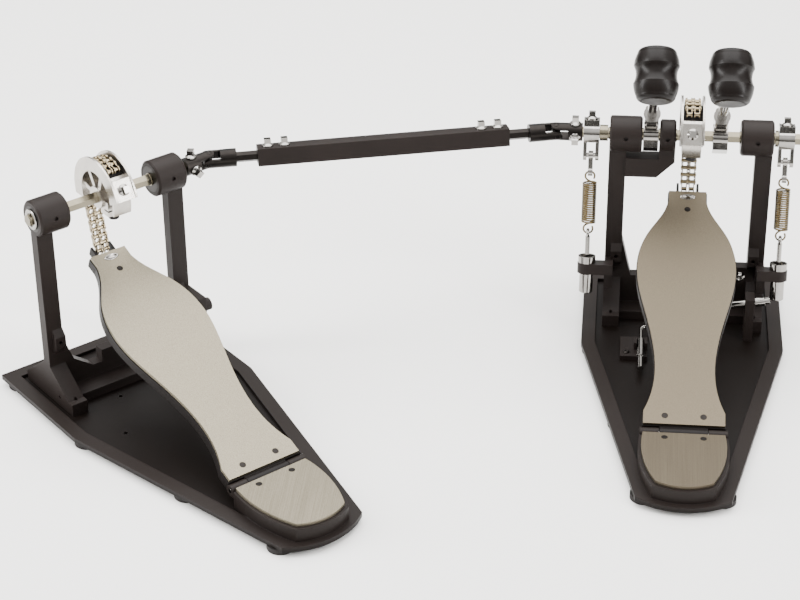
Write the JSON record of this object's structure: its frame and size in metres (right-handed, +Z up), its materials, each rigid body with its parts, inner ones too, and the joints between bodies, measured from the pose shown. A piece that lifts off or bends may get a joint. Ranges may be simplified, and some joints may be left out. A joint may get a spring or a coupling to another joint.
{
  "type": "double_bass_drum_pedal",
  "caption": "double bass drum pedal: main and slave pedals with chain drives, return springs and twin beaters, joined by a telescopic link with universal joints",
  "frame": {"origin": "on the floor, under the main pedal's axle at the middle of the main pedal", "axes": "+X along the main axle away from the slave pedal, +Y toward the drum, +Z up"},
  "size_m": [0.6703, 0.4387, 0.3101],
  "materials": {
    "black_coat": "satin powder coat",
    "tread_aluminium": "blasted",
    "cam_aluminium": "satin",
    "chrome": "polished",
    "shaft_steel": "bright",
    "chain_steel": "nickel plated",
    "spring_steel": "plated",
    "beater_black": "gloss",
    "rubber": "matte"
  },
  "bodies": {
    "frame": {"main_base_plate": "black_coat", "slave_base_plate": "black_coat", "rubber_feet": "rubber", "main_pedestal": "black_coat", "slave_pedestal": "black_coat", "bearings": "chrome", "main_heel_plate": "tread_aluminium", "slave_heel_plate": "tread_aluminium", "hinge_pins": "chrome", "heel_screws": "chrome", "spring_eyebolts": "chrome", "spring_nuts": "chrome", "key_clip": "black_coat", "drum_key": "chrome"},
    "hoop_jaw": {"hoop_clamp_jaw": "black_coat"},
    "hoop_screw": {"hoop_clamp_screw": "chrome"},
    "main_axle": {"main_shaft": "shaft_steel", "main_cam": "cam_aluminium", "main_chain_wrap": "chain_steel", "right_beater_hub": "chrome", "right_beater_rod": "chrome", "right_beater_head": "beater_black", "right_rocker": "chrome", "right_axle_bolts": "chrome"},
    "left_axle": {"left_shaft": "shaft_steel", "left_beater_hub": "chrome", "left_beater_rod": "chrome", "left_beater_head": "beater_black", "left_rocker": "chrome", "main_yoke": "black_coat", "left_axle_bolts": "chrome"},
    "slave_axle": {"slave_shaft": "shaft_steel", "slave_cam": "cam_aluminium", "slave_chain_wrap": "chain_steel", "slave_yoke": "black_coat", "slave_axle_bolts": "chrome"},
    "link_shaft": {"link_tube": "black_coat", "link_bolts": "chrome", "link_main_yoke": "black_coat", "link_slave_yoke": "black_coat"},
    "main_cross": {"main_cross": "chrome"},
    "slave_cross": {"slave_cross": "chrome"},
    "main_footboard": {"main_footboard_plate": "tread_aluminium", "main_footboard_tray": "black_coat", "main_footboard_screws": "chrome"},
    "main_chain_link_1": {"main_chain_link_1": "chain_steel"},
    "main_chain_link_2": {"main_chain_link_2": "chain_steel"},
    "main_chain_link_3": {"main_chain_link_3": "chain_steel"},
    "main_chain_drop": {"main_chain_drop": "chain_steel"},
    "slave_footboard": {"slave_footboard_plate": "tread_aluminium", "slave_footboard_tray": "black_coat", "slave_footboard_screws": "chrome"},
    "slave_chain_link_1": {"slave_chain_link_1": "chain_steel"},
    "slave_chain_link_2": {"slave_chain_link_2": "chain_steel"},
    "slave_chain_link_3": {"slave_chain_link_3": "chain_steel"},
    "slave_chain_drop": {"slave_chain_drop": "chain_steel"},
    "right_spring_link": {"right_spring_link": "chrome"},
    "right_spring": {"right_spring": "spring_steel"},
    "left_spring_link": {"left_spring_link": "chrome"},
    "left_spring": {"left_spring": "spring_steel"}
  },
  "joints": [
    {"name": "main_footboard_hinge", "type": "hinge", "parent": "frame", "child": "main_footboard", "pos_m": [0, -0.2225, 0.0195], "axis": [-1, 0, 0], "range_deg": [0, 5.18], "stiffness_Nm_per_rad": 40, "springref_deg": -4.58},
    {"name": "main_axle_turn", "type": "hinge", "parent": "frame", "child": "main_axle", "pos_m": [0, 0, 0.177], "axis": [-1, 0, 0], "range_deg": [0, 39.74]},
    {"name": "main_chain_pin_1", "type": "hinge", "parent": "main_axle", "child": "main_chain_link_1", "pos_m": [0, 0.02574, 0.19141], "axis": [1, 0, 0], "range_deg": [0, 12.36]},
    {"name": "main_chain_pin_2", "type": "hinge", "parent": "main_chain_link_1", "child": "main_chain_link_2", "pos_m": [0, 0.02823, 0.18557], "axis": [1, 0, 0], "range_deg": [0, 12.36]},
    {"name": "main_chain_pin_3", "type": "hinge", "parent": "main_chain_link_2", "child": "main_chain_link_3", "pos_m": [0, 0.02941, 0.17933], "axis": [1, 0, 0], "range_deg": [0, 12.36]},
    {"name": "main_chain_pin_4", "type": "hinge", "parent": "main_chain_link_3", "child": "main_chain_drop", "pos_m": [0, 0.02923, 0.17298], "axis": [1, 0, 0], "range_deg": [0, 12.36]},
    {"name": "slave_footboard_hinge", "type": "hinge", "parent": "frame", "child": "slave_footboard", "pos_m": [-0.32695, -0.30657, 0.0195], "axis": [-0.7337, -0.6794, 0], "range_deg": [0, 5.18], "stiffness_Nm_per_rad": 40, "springref_deg": -4.58},
    {"name": "slave_axle_turn", "type": "hinge", "parent": "frame", "child": "slave_axle", "pos_m": [-0.47813, -0.14332, 0.177], "axis": [-0.7337, -0.6794, 0], "range_deg": [0, 39.74]},
    {"name": "slave_chain_pin_1", "type": "hinge", "parent": "slave_axle", "child": "slave_chain_link_1", "pos_m": [-0.49562, -0.12443, 0.19141], "axis": [0.7337, 0.6794, 0], "range_deg": [0, 12.36]},
    {"name": "slave_chain_pin_2", "type": "hinge", "parent": "slave_chain_link_1", "child": "slave_chain_link_2", "pos_m": [-0.49731, -0.12261, 0.18557], "axis": [0.7337, 0.6794, 0], "range_deg": [0, 12.36]},
    {"name": "slave_chain_pin_3", "type": "hinge", "parent": "slave_chain_link_2", "child": "slave_chain_link_3", "pos_m": [-0.49811, -0.12174, 0.17933], "axis": [0.7337, 0.6794, 0], "range_deg": [0, 12.36]},
    {"name": "slave_chain_pin_4", "type": "hinge", "parent": "slave_chain_link_3", "child": "slave_chain_drop", "pos_m": [-0.49799, -0.12187, 0.17298], "axis": [0.7337, 0.6794, 0], "range_deg": [0, 12.36]},
    {"name": "left_axle_turn", "type": "hinge", "parent": "frame", "child": "left_axle", "pos_m": [-0.0425, 0, 0.177], "axis": [-1, 0, 0], "range_deg": [0, 36.48]},
    {"name": "link_turn", "type": "hinge", "parent": "frame", "child": "link_shaft", "pos_m": [-0.26055, -0.03803, 0.177], "axis": [-0.9673, -0.2538, 0], "range_deg": [0, 35.36]},
    {"name": "main_cross_tilt", "type": "hinge", "parent": "link_shaft", "child": "main_cross", "pos_m": [-0.1156, 0, 0.177], "axis": [-0.2418, 0.9216, 0.3037], "range_deg": [0, 9.11]},
    {"name": "slave_cross_tilt", "type": "hinge", "parent": "link_shaft", "child": "slave_cross", "pos_m": [-0.40549, -0.07605, 0.177], "axis": [0.2418, -0.9216, -0.3037], "range_deg": [0, 18.42]},
    {"name": "right_spring_link_swing", "type": "hinge", "parent": "main_axle", "child": "right_spring_link", "pos_m": [0.0805, -0.00471, 0.15756], "axis": [1, 0, 0], "range_deg": [0, 49.52]},
    {"name": "right_spring_stretch", "type": "slide", "parent": "right_spring_link", "child": "right_spring", "axis": [0, -0.2356, -0.9719], "range_m": [0, 0.00571], "deforming": ["right_spring"]},
    {"name": "left_spring_link_swing", "type": "hinge", "parent": "left_axle", "child": "left_spring_link", "pos_m": [-0.085, -0.00471, 0.15756], "axis": [1, 0, 0], "range_deg": [0, 45.68]},
    {"name": "left_spring_stretch", "type": "slide", "parent": "left_spring_link", "child": "left_spring", "axis": [0, -0.2356, -0.9719], "range_m": [0, 0.00488], "deforming": ["left_spring"]},
    {"name": "hoop_clamp_pivot", "type": "hinge", "parent": "frame", "child": "hoop_jaw", "pos_m": [0.029, 0, 0.047], "axis": [-1, 0, 0], "range_deg": [0, 6]},
    {"name": "hoop_screw_turn", "type": "hinge", "parent": "frame", "child": "hoop_screw", "pos_m": [0.05361, -0.045, 0.03941], "axis": [0.9816, 0, 0.1908], "range_deg": [0, 1440]}
  ],
  "couplings": [
    {"joint": "main_axle_turn", "follows": "main_footboard_hinge", "ratio": 7.6685},
    {"joint": "main_chain_pin_1", "follows": "main_footboard_hinge", "ratio": 2.3847},
    {"joint": "main_chain_pin_2", "follows": "main_footboard_hinge", "ratio": 2.3847},
    {"joint": "main_chain_pin_3", "follows": "main_footboard_hinge", "ratio": 2.3847},
    {"joint": "main_chain_pin_4", "follows": "main_footboard_hinge", "ratio": 2.3847},
    {"joint": "slave_axle_turn", "follows": "slave_footboard_hinge", "ratio": 7.6685},
    {"joint": "slave_chain_pin_1", "follows": "slave_footboard_hinge", "ratio": 2.3847},
    {"joint": "slave_chain_pin_2", "follows": "slave_footboard_hinge", "ratio": 2.3847},
    {"joint": "slave_chain_pin_3", "follows": "slave_footboard_hinge", "ratio": 2.3847},
    {"joint": "slave_chain_pin_4", "follows": "slave_footboard_hinge", "ratio": 2.3847},
    {"joint": "left_axle_turn", "follows": "slave_footboard_hinge", "ratio": 7.0401},
    {"joint": "link_turn", "follows": "slave_footboard_hinge", "ratio": 6.8242},
    {"joint": "main_cross_tilt", "follows": "slave_footboard_hinge", "ratio": 1.7583},
    {"joint": "slave_cross_tilt", "follows": "slave_footboard_hinge", "ratio": 3.5553},
    {"joint": "right_spring_link_swing", "follows": "main_footboard_hinge", "ratio": 9.5572},
    {"joint": "right_spring_stretch", "follows": "main_footboard_hinge", "m_per_rad": 0.06319},
    {"joint": "left_spring_link_swing", "follows": "slave_footboard_hinge", "ratio": 8.8155},
    {"joint": "left_spring_stretch", "follows": "slave_footboard_hinge", "m_per_rad": 0.05391},
    {"joint": "hoop_screw_turn", "follows": "hoop_clamp_pivot", "ratio": 240}
  ]
}
